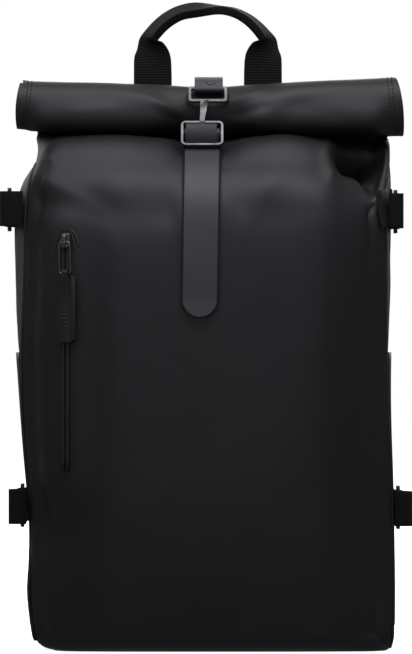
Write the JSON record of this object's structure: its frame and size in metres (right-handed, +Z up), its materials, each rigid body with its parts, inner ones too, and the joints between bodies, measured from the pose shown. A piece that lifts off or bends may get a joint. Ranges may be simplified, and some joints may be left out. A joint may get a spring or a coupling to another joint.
{
  "type": "rolltop backpack",
  "caption": "Rolltop backpack in black coated fabric with a strap-and-hook closure, side straps, slip pockets, a webbing handle and padded shoulder straps, standing upright",
  "frame": {"origin": "middle of the underside of the base panel, on the floor", "axes": "+Z up, from base to handle; the front with the closure strap faces -Y; +X is to the right as seen from the front"},
  "size_m": [0.3771, 0.2451, 0.5954],
  "materials": {
    "coated_fabric": "matte coated",
    "rubberised_fabric": "satin coated",
    "webbing": "woven",
    "padding": "matte woven",
    "gunmetal": "satin",
    "plastic": "matte",
    "zip_tape": "matte"
  },
  "bodies": {
    "root": {"front_sheet": "coated_fabric", "back_sheet": "coated_fabric", "gusset_left": "coated_fabric", "gusset_right": "coated_fabric", "base_panel": "coated_fabric", "side_pocket_left": "coated_fabric", "side_pocket_right": "coated_fabric", "closure_strap": "rubberised_fabric", "closure_tab": "rubberised_fabric", "zip_pull": "rubberised_fabric", "carry_handle": "webbing", "strap_ring": "gunmetal", "closure_hook": "gunmetal", "zip_slider": "gunmetal", "zip_loop": "gunmetal", "front_zip": "zip_tape", "side_strap_upper_left": "webbing", "side_slider_upper_left": "plastic", "side_strap_upper_right": "webbing", "side_slider_upper_right": "plastic", "side_strap_lower_left": "webbing", "side_slider_lower_left": "plastic", "side_strap_lower_right": "webbing", "side_slider_lower_right": "plastic", "back_pad": "padding", "shoulder_strap_left": "padding", "strap_webbing_left": "webbing", "strap_adjuster_left": "plastic", "shoulder_strap_right": "padding", "strap_webbing_right": "webbing", "strap_adjuster_right": "plastic"}
  },
  "joints": []
}
